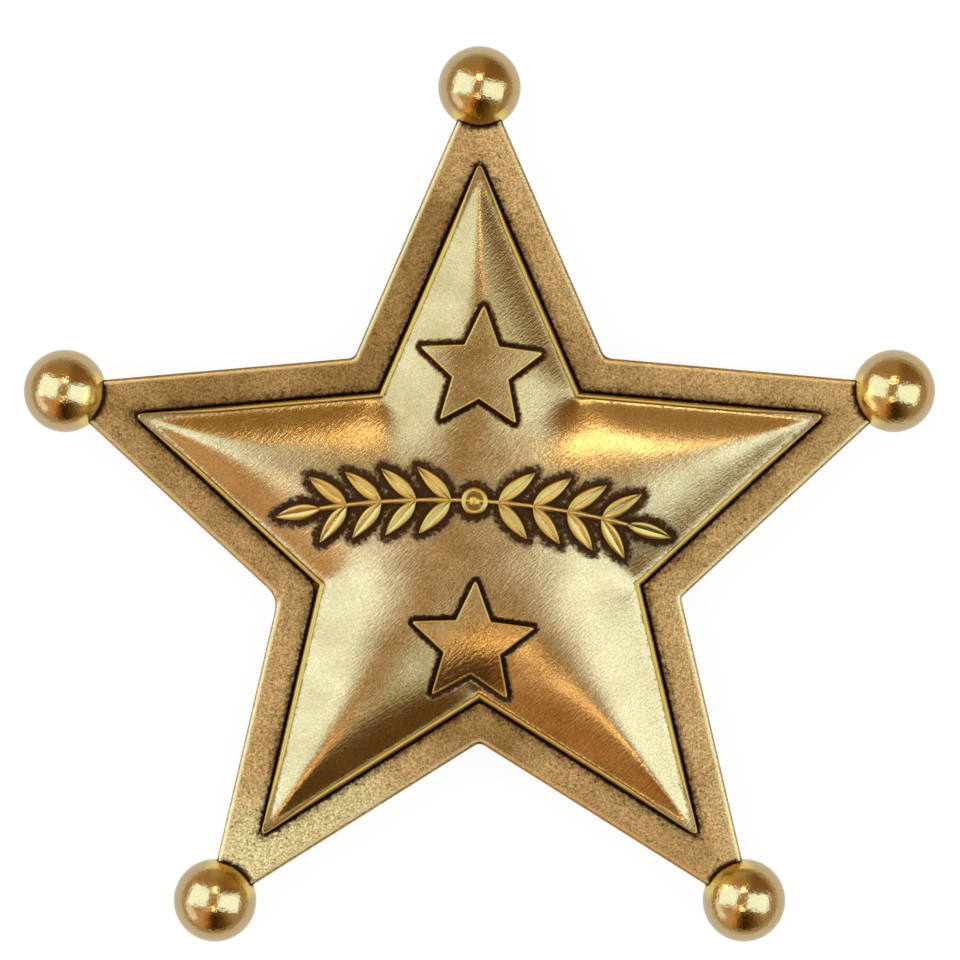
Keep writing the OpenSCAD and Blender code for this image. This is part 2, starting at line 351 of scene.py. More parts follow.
def makeStarPlate():
    v = plateValues
    rings = []
    for inset, height in v["profile"]:
        tip = v["seatTipRound"] if inset > v["seatInset"] else v["tipRound"]
        cuts = [cut for notch in v["notchRounds"] for cut in (tip, notch)]
        loop = starLoop(grown(plateCorners, -inset), cuts, v["edgeSteps"])
        rings.append((loop, plateBottom + height))
    obj = followRings("starPlate", rings, capFirst=True, capLast=True)
    normalsOut(obj)
    cutters = []
    for spot in ballSpots:
        bpy.ops.mesh.primitive_uv_sphere_add(
            segments=ballValues["segments"], ring_count=ballValues["rings"],
            radius=(ballLevel + v["ballGap"]) * mm,
            location=placed(np.array([spot]), ballLevel)[0])
        bpy.ops.object.transform_apply()
        cutters.append(bpy.context.object)
    cutter = joined("ballCups", cutters)
    bpy.context.view_layer.objects.active = obj
    cups = obj.modifiers.new("ballCups", "BOOLEAN")
    cups.operation = "DIFFERENCE"
    cups.solver = "EXACT"
    cups.object = cutter
    bpy.ops.object.modifier_apply(modifier=cups.name)
    bpy.data.objects.remove(cutter)

    co = coordinates(obj)
    flat = starPlane(co)
    height = co[:, 2] / mm - plateBottom
    inset = -signedDistance(flat, plateCorners)
    toDome = signedDistance(flat, domeLoop(0))
    patina = v["wallPatina"] * (1 - smooth(height, *v["wallHeights"]))
    for strength, near, far in (v["groove"], v["grooveHaze"]):
        patina = np.maximum(patina, strength * (1 - smooth(toDome, near, far)))
    setMask(obj, "patina", patina)
    setMask(obj, "wear", between(inset, *v["wornInsets"]) * smooth(height, *v["wornHeights"]))
    tarnishAndShade = sideValues(flat, plateCorners, v["tarnishAndShade"])
    tarnishAndShade += v["seatTarnish"] * smooth(inset, *v["seatTarnishInsets"])
    setMask(obj, "tarnishAndShade", tarnishAndShade + spotted(flat, v["darkSpots"]))
    setMask(obj, "pale", spotted(flat, v["paleSpots"]))
    shadeSmooth(obj, v["sharpAngle"])
    return obj


# Domed star

domeValues = {
    "gridSpacing": 0.13,
    "base": 0.45,
    "rise": 2.6,
    # height gained per length above the foot, and how sharply the slope levels off
    "slope": 0.6,
    "levelling": 1.5,
    "ridge": 4.5,
    "footWidth": 0.45,
    "coveWidth": 0.4,
    "faceInset": 0.14,
    # rounding of the points at the foot, what it loses per inset, and the least that is left
    "tipRound": 0.8,
    "tipSharpening": 0.7,
    "sharpestTip": 0.15,
    # rounding of the notches at the foot, and what it gains per inset
    "notchRound": 0.05,
    "notchSoftening": 0.1,
    "edgeSteps": 24,
    # the lip: inset from the dome's foot and height over the flat star
    "lipProfile": [
        (0.0, -0.5), (0.0, -0.1), (0.02, 0.15), (0.06, 0.34), (0.12, 0.48), (0.2, 0.57),
        (0.29, 0.6), (0.38, 0.585), (0.46, 0.52), (0.52, 0.4), (0.56, 0.1),
    ],
    # share of the lip's width at the dome's points, and the distance over which it widens
    "tipLip": 0.3,
    "lipTaper": 7.0,
    # tarnish and painted shade of the ten sides, in the flat star's order; darker sides are partly
    # painted shade
    "tarnishAndShade": [0.6, 0.7, 0.0, 0.15, 1.0, 0.4, 0.0, 0.3, 0.0, 1.0],
    # patina inside the lip: strength, and the insets between which it fades
    "cove": (0.4, 0.5, 0.85),
    # heights over the flat star between which the lip's patina fades and its wear grows
    "lipPatinaHeights": (0.1, 0.45),
    "lipWornHeights": (0.42, 0.56),
    # how much the left arm leans outwards, how far out that starts and settles, and the heights on
    # the badge between which it grows
    "lean": 0.055,
    "leanStart": 2.0,
    "leanSettle": 3.0,
    "leanLevels": (-7, 3),
    # the deepest depth that the material shows
    "deepest": 1.6,
}
smallStars = {
    "reach": 5.45,
    "notch": 2.45,
    "turn": -3.0,
    "places": [(0.1, 13.5), (-0.6, -9.1)],
    "height": 0.4,
    # how much flatter the tops look across than the dome under them
    "flatter": 0.6,
    "tipRound": 0.45,
    "sharpestTip": 0.1,
    "notchRound": 0.05,
    "roundSteps": 3,
    "edgeSteps": 24,
    "grooveDepth": 0.22,
    "grooveWidth": 0.44,
    # distances from the groove's outer edge between which its patina fades
    "grooveFade": (-0.25, 0.4),
    "gridSpacing": 0.15,
    # inset from the small star's outline and height under its top
    "edgeProfile": [(0.0, -0.9), (0.0, -0.1), (0.03, -0.03), (0.08, 0.0), (0.15, -0.01), (0.3, -0.06)],
    # heights under the top between which the edge's patina fades and its wear grows, and the insets
    # between which the wear ends
    "patinaHeights": (-0.35, -0.08),
    "wornHeights": (-0.12, -0.02),
    "wornInsets": (0.1, 0.22),
}


# Distance to the dome's foot, blended where two edges are near, so that the ridges are rounded
def footDistance(points):
    d = np.maximum(segmentDistances(points, domeCorners), 1e-6)
    p = domeValues["ridge"]
    return (d ** -p).sum(axis=0) ** (-1 / p)


def domeHeight(points):
    run = np.maximum(0, footDistance(points) - domeValues["footWidth"])
    straight = domeValues["slope"] * run ** 2 / (run + domeValues["coveWidth"])
    rise, n = domeValues["rise"], domeValues["levelling"]
    return plateTop + domeValues["base"] + straight * rise / (straight ** n + rise ** n) ** (1 / n)


# The slight outward lean of the left arm, as a depth that only the material shows
def leanDepth(points):
    v = domeValues
    out = np.maximum(0, -points[:, 0] - v["leanStart"])
    return v["lean"] * out ** 2 / (out + v["leanSettle"]) * smooth(points[:, 1], *v["leanLevels"])


# Masks that the dome and its relief share
def setDomeMasks(obj, points, depth=0):
    setMask(obj, "lean", (leanDepth(points) + depth) / domeValues["deepest"])
    # the tarnish mask here is partly painted shade on the dome's darker flanks
    setMask(obj, "tarnishAndShade", sideValues(points, domeCorners, domeValues["tarnishAndShade"]))


def domeLoop(inset, steps=1):
    v = domeValues
    tipCut = max(v["sharpestTip"], v["tipRound"] - inset * v["tipSharpening"])
    notchCut = v["notchRound"] + v["notchSoftening"] * inset
    return starLoop(grown(domeCorners, -inset), [tipCut, notchCut] * 5, steps)


def smallStarOutline(inset, tipCut, place, steps=1):
    v = smallStars
    corners = []
    for i in range(5):
        corners.append(polar(v["reach"], 90 + 72 * i + v["turn"]))
        corners.append(polar(v["notch"], 126 + 72 * i + v["turn"]))
    cuts = [tipCut, v["notchRound"]] * 5
    return starLoop(grown(np.array(corners), -inset), cuts, steps, v["roundSteps"]) + np.array(place)


def makeDomedStar():
    foot = domeLoop(0, domeValues["edgeSteps"])
    toTip = np.min([np.linalg.norm(foot - tip, axis=1) for tip in domeCorners[::2]], axis=0)
    share = domeValues["tipLip"]
    share = (share + (1 - share) * smooth(toTip, 0, domeValues["lipTaper"]))[:, None]
    rings = []
    for inset, height in domeValues["lipProfile"]:
        loop = domeLoop(inset, domeValues["edgeSteps"])
        rings.append((foot + (loop - foot) * share, plateTop + height))
    lip = followRings("domeLip", rings)
    normalsOut(lip)
    co = coordinates(lip)
    height = co[:, 2] / mm - plateTop
    setMask(lip, "patina", 1 - smooth(height, *domeValues["lipPatinaHeights"]))
    setMask(lip, "wear", smooth(height, *domeValues["lipWornHeights"]))
    setDomeMasks(lip, starPlane(co))
    shadeSmooth(lip)

    face = trimmedGrid("domeFace", domeLoop(domeValues["faceInset"]), domeValues["gridSpacing"])
    co = coordinates(face)
    flat = starPlane(co)
    z = domeHeight(flat)
    inset = segmentDistances(flat, domeCorners).min(axis=0)
    strength, near, far = domeValues["cove"]
    patina = strength * (1 - smooth(inset, near, far))
    width = smallStars["grooveWidth"]
    for place in smallStars["places"]:
        d = signedDistance(flat, smallStarOutline(0, smallStars["tipRound"], place))
        z -= smallStars["grooveDepth"] * (1 - smooth(d, 0.0, width))
        patina = np.maximum(patina, 1 - smooth(d - width, *smallStars["grooveFade"]))
    patina = np.maximum(patina, 1 - smooth(laurelDistance(flat), *laurelValues["groundWidths"]))
    co[:, 2] = z * mm
    setCoordinates(face, co)
    setMask(face, "patina", patina)
    setMask(face, "wear", np.zeros(len(z)))
    setDomeMasks(face, flat)
    shadeSmooth(face)
    return joined("domedStar", [lip, face])


# Small stars

# How deep the small stars look, so that they seem flatter across than the dome
def starDepth(points, place):
    middle = np.stack([np.full(len(points), place[0]), points[:, 1]], axis=1)
    return domeValues["deepest"] / 2 + smallStars["flatter"] * (domeHeight(points) - domeHeight(middle))


def makeSmallStars():
    v = smallStars
    made = []
    for place in v["places"]:
        rings = []
        for inset, height in v["edgeProfile"]:
            tipCut = max(v["sharpestTip"], v["tipRound"] - inset)
            loop = smallStarOutline(inset, tipCut, place, v["edgeSteps"])
            rings.append((loop, domeHeight(loop) + v["height"] + height))
        edge = followRings("smallStarEdge", rings)
        normalsOut(edge)
        co = coordinates(edge)
        flat = starPlane(co)
        height = co[:, 2] / mm - domeHeight(flat) - v["height"]
        inset = -signedDistance(flat, smallStarOutline(0, v["tipRound"], place))
        setMask(edge, "patina", 1 - smooth(height, *v["patinaHeights"]))
        setMask(edge, "wear", smooth(height, *v["wornHeights"]) * (1 - smooth(inset, *v["wornInsets"])))
        setDomeMasks(edge, flat, starDepth(flat, place))
        shadeSmooth(edge)
        inner, under = v["edgeProfile"][-2]
        outline = smallStarOutline(inner, v["tipRound"] - inner, place)
        top = trimmedGrid("smallStarTop", outline, v["gridSpacing"])
        co = coordinates(top)
        flat = starPlane(co)
        co[:, 2] = (domeHeight(flat) + v["height"] + under) * mm
        setCoordinates(top, co)
        setMask(top, "patina", np.zeros(len(co)))
        setMask(top, "wear", np.zeros(len(co)))
        setDomeMasks(top, flat, starDepth(flat, place))
        shadeSmooth(top)
        made += [edge, top]
    return joined("smallStars", made)


# Laurel

laurelValues = {
    "halfLength": 16.5,
    "archRadius": 62.0,
    "place": (-0.4, 2.7),
    "turn": -3.0,
    "leafPairs": 4,
    "leafLength": 3.9,
    "leafWidth": 1.35,
    "leafAngle": 45.0,
    "leafBelly": 0.42,
    # power of a leaf's outline (less is fuller), half its width at its ends, and the share of its
    # length that it loses towards its vein
    "leafPower": 0.8,
    "leafEnd": 0.012,
    "leafShortening": 0.12,
    "leafPoints": 18,
    "leafStart": 0.25,
    "stemWidth": 0.5,
    "stemPoints": 60,
    "bossRadius": 1.2,
    "bossPoints": 48,
    "height": 0.5,
    # edges that turn by more degrees than this stay sharp
    "sharpAngle": 60,
    # distances from the leaves between which the darkened ground fades
    "groundWidths": (0.15, 1.3),
    # shares of the height between which the patina fades and the wear grows
    "patinaHeights": (0.1, 0.55),
    "wornHeights": (0.7, 1.0),
    # half breadth share and height share of a leaf, from its foot in the dome to its vein
    "leafProfile": [
        (1.0, -0.8), (1.0, 0.25), (0.95, 0.6), (0.84, 0.87), (0.66, 1.0), (0.35, 0.95), (0.07, 0.78),
    ],
    "stemProfile": [(1.0, -0.8), (1.0, 0.3), (0.85, 0.65), (0.45, 0.85), (0.1, 0.88)],
    "bossProfile": [
        (1.0, -0.8), (1.0, 0.35), (0.95, 0.7), (0.84, 0.93), (0.7, 1.0), (0.6, 0.85), (0.54, 0.5),
        (0.48, 0.5), (0.42, 0.8), (0.3, 1.1), (0.12, 1.2),
    ],
}


# Place along and across the arched stem, from the badge plane
def stemPlane(points):
    p = turned(points - np.array(laurelValues["place"]), -laurelValues["turn"])
    r = laurelValues["archRadius"]
    return np.arctan2(p[:, 0], p[:, 1] + r) * r, np.hypot(p[:, 0], p[:, 1] + r) - r


# Badge plane from the place along and across the arched stem
def onStem(points):
    r = laurelValues["archRadius"]
    a, reach = points[:, 0] / r, r + points[:, 1]
    arched = np.stack([reach * np.sin(a), reach * np.cos(a) - r], axis=1)
    return turned(arched, laurelValues["turn"]) + np.array(laurelValues["place"])


def leafLoop(breadth):
    v = laurelValues
    n, belly, loss = v["leafPoints"], v["leafBelly"], v["leafShortening"]
    share = 0.5 - 0.5 * np.cos(np.pi * np.arange(n + 1) / n)
    t = np.where(share < belly, share / belly, (1 - share) / (1 - belly))
    half = v["leafWidth"] / 2 * np.sin(np.pi / 2 * t) ** v["leafPower"] + v["leafEnd"]
    share = 0.5 + (share - 0.5) * (1 - loss + loss * breadth)
    upper = np.stack([share * v["leafLength"], half * breadth], axis=1)
    return np.concatenate([upper[::-1], upper * np.array([1, -1])])


# Place along the stem, turn and mirroring of each leaf
def leafPlaces():
    v = laurelValues
    endLeaf = v["halfLength"] - v["leafLength"]
    pitch = (endLeaf - v["bossRadius"]) / v["leafPairs"]
    places = []
    for mirror in (1, -1):
        for i in range(v["leafPairs"]):
            along = v["bossRadius"] + (i + v["leafStart"]) * pitch
            for side in (1, -1):
                places.append((along, side * v["leafAngle"], mirror))
        places.append((endLeaf, 0, mirror))
    return places


def leafOnStem(points, along, turn, mirror):
    return onStem((turned(points, turn) + np.array([along, 0])) * np.array([mirror, 1]))


def stemLoop(breadth):
    v = laurelValues
    half = v["halfLength"] - v["leafLength"] + v["stemWidth"]
    along = np.linspace(-half, half, v["stemPoints"])
    aside = np.full(v["stemPoints"], v["stemWidth"] / 2 * breadth)
    return np.concatenate([np.stack([along[::-1], aside], axis=1), np.stack([along, -aside], axis=1)])


def bossLoop(breadth):
    r, n = laurelValues["bossRadius"] * breadth, laurelValues["bossPoints"]
    return np.array([polar(r, k * 360 / n) for k in range(n)])


# Distance from the laurel's outline over the badge plane, zero inside it, for points within a margin
def laurelDistance(points, margin=1.0):
    outlines = [leafOnStem(leafLoop(1.0)[::2], *place) for place in leafPlaces()]
    outlines += [onStem(stemLoop(1.0)[::4]), onStem(bossLoop(1.0)[::4])]
    result = np.full(len(points), np.inf)
    along, across = np.abs(stemPlane(points))
    near = (across < laurelValues["leafLength"] + margin) & (along < laurelValues["halfLength"] + margin)
    for outline in outlines:
        result[near] = np.minimum(result[near], np.maximum(signedDistance(points[near], outline), 0))
    return result


# Raises a shape modelled flat at the star's centre onto the dome
def raiseOnDome(obj, flat, high):
    setCoordinates(obj, placed(flat, domeHeight(flat) + high))


def makeLaurel():
    v = laurelValues
    made = []
    shapes = [("leaf", leafLoop, v["leafProfile"], None), ("stem", stemLoop, v["stemProfile"], onStem),
              ("boss", bossLoop, v["bossProfile"], onStem)]
    for name, loop, profile, place in shapes:
        rings = [(loop(breadth), height * v["height"]) for breadth, height in profile]
        obj = followRings(name, rings, capFirst=True, capLast=True)
        co = coordinates(obj)
        flat, high = starPlane(co), co[:, 2] / mm
        setMask(obj, "patina", 1 - smooth(high / v["height"], *v["patinaHeights"]))
        setMask(obj, "wear", smooth(high / v["height"], *v["wornHeights"]))
        if name != "leaf":
            raiseOnDome(obj, place(flat), high)
            made.append(obj)
            continue
        for spot in leafPlaces():
            leaf = duplicated(obj)
            raiseOnDome(leaf, leafOnStem(flat, *spot), high)
            made.append(leaf)
        bpy.data.objects.remove(obj)
    laurel = joined("laurel", made)
    setDomeMasks(laurel, starPlane(coordinates(laurel)))
    normalsOut(laurel)
    shadeSmooth(laurel, v["sharpAngle"])
    return laurel


# Balls

ballValues = {
    "segments": 96,
    "rings": 64,
    # where the dark seam and the painted reflection of the star plate above it fade: depth towards the
    # badge, half width and half height from the arm's middle line
    "seamDepths": (2.5, 2.95),
    "seamWidths": (1.75, 2.2),
    "seamHeights": (1.05, 1.6),
    "paintedReflectionDepths": (1.5, 2.3),
    "paintedReflectionWidths": (1.9, 2.6),
    # how far past a ball the seam on its arm is at its darkest
    "armSeam": 0.1,
}


def makeBalls():
    v = ballValues
    names = ["ballTop", "ballLeft", "ballLowerLeft", "ballLowerRight", "ballRight"]
    bpy.ops.mesh.primitive_uv_sphere_add(
        segments=v["segments"], ring_count=v["rings"], radius=ballLevel * mm)
    first = bpy.context.object
    shape = coordinates(first)
    p = shape / mm
    balls = [first] + [duplicated(first) for _ in names[1:]]
    for obj, name, spot, (angle, _, _) in zip(balls, names, ballSpots, starShape["arms"]):
        obj.name = obj.data.name = name
        setCoordinates(obj, shape + placed(np.array([spot]), ballLevel)[0])
        inward = -(p[:, :2] @ polar(1, angle))
        aside = np.abs(p[:, :2] @ polar(1, angle + 90))
        seam = (1 - smooth(aside, *v["seamWidths"])) * (1 - smooth(np.abs(p[:, 2]), *v["seamHeights"]))
        setMask(obj, "patina", smooth(inward, *v["seamDepths"]) * seam)
        # the pale mask on a ball is a painted reflection of the star plate beside its seam
        setMask(obj, "pale", smooth(inward, *v["paintedReflectionDepths"]) * (1 - smooth(aside, *v["paintedReflectionWidths"])))
        shadeSmooth(obj)
    return balls


# Materials

def newMaterial(name):
    material = bpy.data.materials.new(name)
    material.use_nodes = True
    material.node_tree.nodes.clear()
    return material


def addNode(tree, kind, at=(0, 0), **values):
    node = tree.nodes.new(kind)
    node.location = at
    for key, value in values.items():
        if hasattr(node, key):
            setattr(node, key, value)
        else:
            node.inputs[key.replace("_", " ")].default_value = value
    return node


def ramp(tree, at, stops):
    node = tree.nodes.new("ShaderNodeValToRGB")
    node.location = at
    elements = node.color_ramp.elements
    while len(elements) > 1:
        elements.remove(elements[-1])
    elements[0].position, elements[0].color = stops[0][0], (*stops[0][1], 1)
    for position, colour in stops[1:]:
        elements.new(position).color = (*colour, 1)
    return node


def addSockets(tree, inputs, outputs):
    for name, value in inputs:
        socket = tree.interface.new_socket(name, in_out="INPUT", socket_type="NodeSocketFloat")
        socket.default_value = value
    for name in outputs:
        tree.interface.new_socket(name, in_out="OUTPUT", socket_type="NodeSocketFloat")
    return tree.nodes.new("NodeGroupInput"), tree.nodes.new("NodeGroupOutput")


# settings of the noises; the materials set the scale of the first two
grainNoises = {
    "Height": {"Detail": 3.0, "Roughness": 0.6},
    "Mottle": {"Detail": 2.0, "Roughness": 0.55},
    "Specks": {"Scale": 2.6, "Detail": 4.0, "Roughness": 0.75},
    "Clouds": {"Scale": 0.28, "Detail": 3.0, "Roughness": 0.55},
}
# direction of the brush strokes in degrees, and their fineness along, across and in depth
strokeValues = {
    "angle": -42.0,
    "scale": (1300, 6500, 1300),
    "detail": 3.0,
    "roughness": 0.6,
}


# Maps a value from between two limits to between two results, and holds it there
def addRange(tree, at, value, limits, results=(0.0, 1.0)):
    node = addNode(tree, "ShaderNodeMapRange", at, From_Min=limits[0], From_Max=limits[1],
                   To_Min=results[0], To_Max=results[1])
    tree.links.new(value, node.inputs["Value"])
    return node.outputs[0]


# Shader group: fine sand-cast grain, mottling, sparse specks and broad clouds
def makeGrainGroup():
    tree = bpy.data.node_groups.new("castGrain", "ShaderNodeTree")
    get, put = addSockets(tree, [("Grain Scale", 5.0), ("Mottle Scale", 3.0)],
                          ["Height", "Mottle", "Specks", "Clouds"])
    place = addNode(tree, "ShaderNodeTexCoord", (-900, 0))
    scaled = addNode(tree, "ShaderNodeMapping", (-700, 0), Scale=(1 / mm,) * 3)
    tree.links.new(place.outputs["Object"], scaled.inputs["Vector"])
    noises = {}
    for i, (name, values) in enumerate(grainNoises.items()):
        node = noises[name] = addNode(tree, "ShaderNodeTexNoise", (-450, 350 - 250 * i), **values)
        tree.links.new(scaled.outputs["Vector"], node.inputs["Vector"])
        tree.links.new(node.outputs["Fac"], put.inputs[name])
    tree.links.new(get.outputs["Grain Scale"], noises["Height"].inputs["Scale"])
    tree.links.new(get.outputs["Mottle Scale"], noises["Mottle"].inputs["Scale"])
    return tree


# Shader group: short brush strokes running one way
def makeBrushGroup():
    tree = bpy.data.node_groups.new("brushStrokes", "ShaderNodeTree")
    put = addSockets(tree, [], ["Height"])[1]
    v = strokeValues
    place = addNode(tree, "ShaderNodeTexCoord", (-900, 0))
    angled = addNode(tree, "ShaderNodeMapping", (-700, 0), Rotation=(0, 0, math.radians(v["angle"])))
    stretched = addNode(tree, "ShaderNodeMapping", (-500, 0), Scale=v["scale"])
    strokes = addNode(tree, "ShaderNodeTexNoise", (-300, 0), Scale=1.0, Detail=v["detail"],
                      Roughness=v["roughness"])
    tree.links.new(place.outputs["Object"], angled.inputs["Vector"])
    tree.links.new(angled.outputs["Vector"], stretched.inputs["Vector"])
    tree.links.new(stretched.outputs["Vector"], strokes.inputs["Vector"])
    tree.links.new(strokes.outputs["Fac"], put.inputs["Height"])
    return tree


# Shader group: a mask round the five balls, for the dark seam between a ball and its arm
def makeSeamGroup():
    tree = bpy.data.node_groups.new("ballSeam", "ShaderNodeTree")
    get, put = addSockets(tree, [("Width", 0.0003)], ["Mask"])
    place = addNode(tree, "ShaderNodeTexCoord", (-900, 0))
    nearest = None
    for i, spot in enumerate(placed(ballSpots, ballLevel)):
        away = addNode(tree, "ShaderNodeVectorMath", (-650, 200 - i * 160), operation="DISTANCE")
        away.inputs[1].default_value = spot
        tree.links.new(place.outputs["Object"], away.inputs[0])
        value = away.outputs["Value"]
        if nearest is not None:
            least = addNode(tree, "ShaderNodeMath", (-400, 200 - i * 160), operation="MINIMUM")
            tree.links.new(nearest, least.inputs[0])
            tree.links.new(value, least.inputs[1])
            value = least.outputs[0]
        nearest = value
    inner = (ballLevel + ballValues["armSeam"]) * mm
    outer = addNode(tree, "ShaderNodeMath", (-200, -200), operation="ADD")
    outer.inputs[1].default_value = inner
    tree.links.new(get.outputs["Width"], outer.inputs[0])
    mask = addNode(tree, "ShaderNodeMapRange", (0, 0), From_Min=inner, To_Min=1.0, To_Max=0.0)
    tree.links.new(nearest, mask.inputs["Value"])
    tree.links.new(outer.outputs[0], mask.inputs["From Max"])
    tree.links.new(mask.outputs[0], put.inputs["Mask"])
    return tree


grainGroup = makeGrainGroup()
brushGroup = makeBrushGroup()
seamGroup = makeSeamGroup()


def addGroup(tree, group, at, **values):
    node = addNode(tree, "ShaderNodeGroup", at)
    node.node_tree = group
    for key, value in values.items():
        node.inputs[key.replace("_", " ")].default_value = value
    return node


def addAttribute(tree, name, at):
    node = addNode(tree, "ShaderNodeAttribute", at)
    node.attribute_name = name
    return node.outputs["Fac"]


# Mixes a colour over another by a factor
def addOver(tree, at, factor, below, above):
    node = addNode(tree, "ShaderNodeMix", at, data_type="RGBA")
    node.inputs["B"].default_value = (*above, 1)
    tree.links.new(factor, node.inputs["Factor"])
    if isinstance(below, tuple):
        node.inputs["A"].default_value = (*below, 1)
    else:
        tree.links.new(below, node.inputs["A"])
    return node.outputs["Result"]


def addMath(tree, at, operation, first, second):
    node = addNode(tree, "ShaderNodeMath", at, operation=operation)
    for socket, value in zip(node.inputs, (first, second)):
        if isinstance(value, (int, float)):
            socket.default_value = value
        else:
            tree.links.new(value, socket)
    return node.outputs[0]


def makeBrass(name, look):
    material = newMaterial(name)
    tree = material.node_tree
    out = addNode(tree, "ShaderNodeOutputMaterial", (1600, 0))
    metal = addNode(tree, "ShaderNodeBsdfPrincipled", (1300, 0), Metallic=1.0)
    tree.links.new(metal.outputs[0], out.inputs[0])
    grain = addGroup(tree, grainGroup, (-1100, 200), Grain_Scale=look["grainScale"],
                     Mottle_Scale=look["mottleScale"])

    # tarnish, and on the dome also painted shade, from the piece's mask and from broad clouds
    strength = (-look["clouds"], look["clouds"])
    clouds = addRange(tree, (-850, 450), grain.outputs["Clouds"], look["cloudLimits"], strength)
    mask = addAttribute(tree, "tarnishAndShade", (-850, 650))
    tarnishAndShade = addMath(tree, (-650, 450), "ADD", clouds, mask)
    tarnishAndShade = addMath(tree, (-500, 450), "MAXIMUM", tarnishAndShade, 0.0)
    tarnishAndShade = addMath(tree, (-350, 450), "MINIMUM", tarnishAndShade, 1.0)
    colour = addOver(tree, (-150, 400), tarnishAndShade, look["clean"], look["tarnishedAndShaded"])
    colour = addOver(tree, (0, 400), addAttribute(tree, "pale", (-150, 650)), colour, look["pale"])

    # mottling and dark specks
    mottle = addRange(tree, (-850, 150), grain.outputs["Mottle"], look["mottleLimits"])
    depth = look["mottle"]
    darker = tuple(1 - share * depth for share in look["mottleTint"])
    tint = addOver(tree, (-650, 150), mottle, darker, (1 + depth,) * 3)
    mottled = addNode(tree, "ShaderNodeVectorMath", (150, 400), operation="MULTIPLY")
    tree.links.new(colour, mottled.inputs[0])
    tree.links.new(tint, mottled.inputs[1])
    limits = (look["speckFrom"], look["speckFrom"] + look["speckEdge"])
    specks = addRange(tree, (-850, -100), grain.outputs["Specks"], limits)
    colour = addOver(tree, (300, 400), specks, mottled.outputs[0], look["speck"])

    # dark patina in the grooves and seams, broken up by the grain
    seam = addGroup(tree, seamGroup, (-1100, -300), Width=look["seamWidth"])
    mask = addAttribute(tree, "patina", (-1100, -500))
    patina = addMath(tree, (-850, -350), "MAXIMUM", mask, seam.outputs["Mask"])
    strength = (-look["patinaBreak"], look["patinaBreak"])
    shift = addRange(tree, (-850, -550), grain.outputs["Specks"], look["breakLimits"], strength)
    broken = addMath(tree, (-650, -350), "ADD", patina, shift)
    dark = addRange(tree, (-450, -350), broken, look["patinaLimits"])
    colour = addOver(tree, (500, 400), dark, colour, look["patina"])
    wear = addAttribute(tree, "wear", (500, 650))
    colour = addOver(tree, (700, 400), wear, colour, look["worn"])
    tree.links.new(colour, metal.inputs["Base Color"])

    roughness = (look["roughness"], look["patinaRoughness"])
    rough = addRange(tree, (400, -150), dark, (0.0, 1.0), roughness)
    polish = addNode(tree, "ShaderNodeMix", (600, -150), data_type="FLOAT")
    polish.inputs["B"].default_value = look["wornRoughness"]
    tree.links.new(rough, polish.inputs["A"])
    tree.links.new(wear, polish.inputs["Factor"])
    tree.links.new(polish.outputs["Result"], metal.inputs["Roughness"])

    bump = addNode(tree, "ShaderNodeBump", (900, -400), Strength=look["grainStrength"],
                   Distance=look["grainDepth"])
    tree.links.new(grain.outputs["Height"], bump.inputs["Height"])
    if look["strokeStrength"] > 0:
        lean = addNode(tree, "ShaderNodeBump", (400, -800), Strength=1.0,
                       Distance=domeValues["deepest"] * mm)
        lean.invert = True
        tree.links.new(addAttribute(tree, "lean", (200, -800)), lean.inputs["Height"])
        brush = addGroup(tree, brushGroup, (400, -600))
        strokes = addNode(tree, "ShaderNodeBump", (650, -600), Strength=look["strokeStrength"],
                          Distance=look["strokeDepth"])
        tree.links.new(brush.outputs["Height"], strokes.inputs["Height"])
        tree.links.new(lean.outputs["Normal"], strokes.inputs["Normal"])
        tree.links.new(strokes.outputs["Normal"], bump.inputs["Normal"])
    tree.links.new(bump.outputs["Normal"], metal.inputs["Normal"])
    return material


# the dome and the balls take over what they don't change; limits are the noise or mask values between
# which a layer comes in
borderLook = {
    "clean": (0.59, 0.395, 0.185),
    "tarnishedAndShaded": (0.30, 0.175, 0.065),
    "pale": (0.78, 0.72, 0.42),
    "clouds": 0.22,
    "cloudLimits": (0.3, 0.7),
    "mottle": 0.4,
    "mottleLimits": (0.32, 0.68),
    # how much stronger the mottling darkens red, green and blue
    "mottleTint": (1.0, 1.15, 1.35),
    "mottleScale": 6.0,
    "speck": (0.16, 0.09, 0.03),
    "speckFrom": 0.58,
    "speckEdge": 0.1,
    "patina": (0.06, 0.027, 0.011),
    "patinaLimits": (0.3, 0.85),
    "patinaRoughness": 0.55,
    "patinaBreak": 0.35,
    "breakLimits": (0.3, 0.7),
    "seamWidth": 0.00045,
    "worn": (0.84, 0.66, 0.36),
    "roughness": 0.42,
    "wornRoughness": 0.28,
    "grainScale": 4.5,
    "grainStrength": 0.8,
    "grainDepth": 0.00006,
    "strokeStrength": 0.0,
    "strokeDepth": 0.0,
}
domeLook = {
    **borderLook,
    "clean": (0.655, 0.505, 0.29),
    # on the dome this tarnished colour is also the colour of its painted shade
    "tarnishedAndShaded": (0.42, 0.28, 0.12),
    "clouds": 0.3,
    "mottle": 0.14,
    "mottleScale": 6.0,
    "speck": (0.30, 0.18, 0.08),
    "speckFrom": 0.64,
    "seamWidth": 0.0,
    "worn": (0.66, 0.47, 0.13),
    "wornRoughness": 0.36,
    "roughness": 0.17,
    "grainScale": 6.5,
    "grainStrength": 0.35,
    "grainDepth": 0.00003,
    "strokeStrength": 0.8,
    "strokeDepth": 0.00003,
}
ballLook = {
    **borderLook,
    "clean": (0.655, 0.50, 0.27),
    "tarnishedAndShaded": (0.60, 0.44, 0.20),
    "clouds": 0.5,
    "mottle": 0.04,
    "speck": (0.5, 0.34, 0.16),
    "speckFrom": 0.7,
    # colour of the painted reflection of the star plate on the ball beside its seam
    "pale": (0.95, 0.72, 0.24),
    "seamWidth": 0.0,
    "roughness": 0.08,
    "grainScale": 3.0,
    "grainStrength": 1.0,
    "grainDepth": 0.000032,
}


# Studio

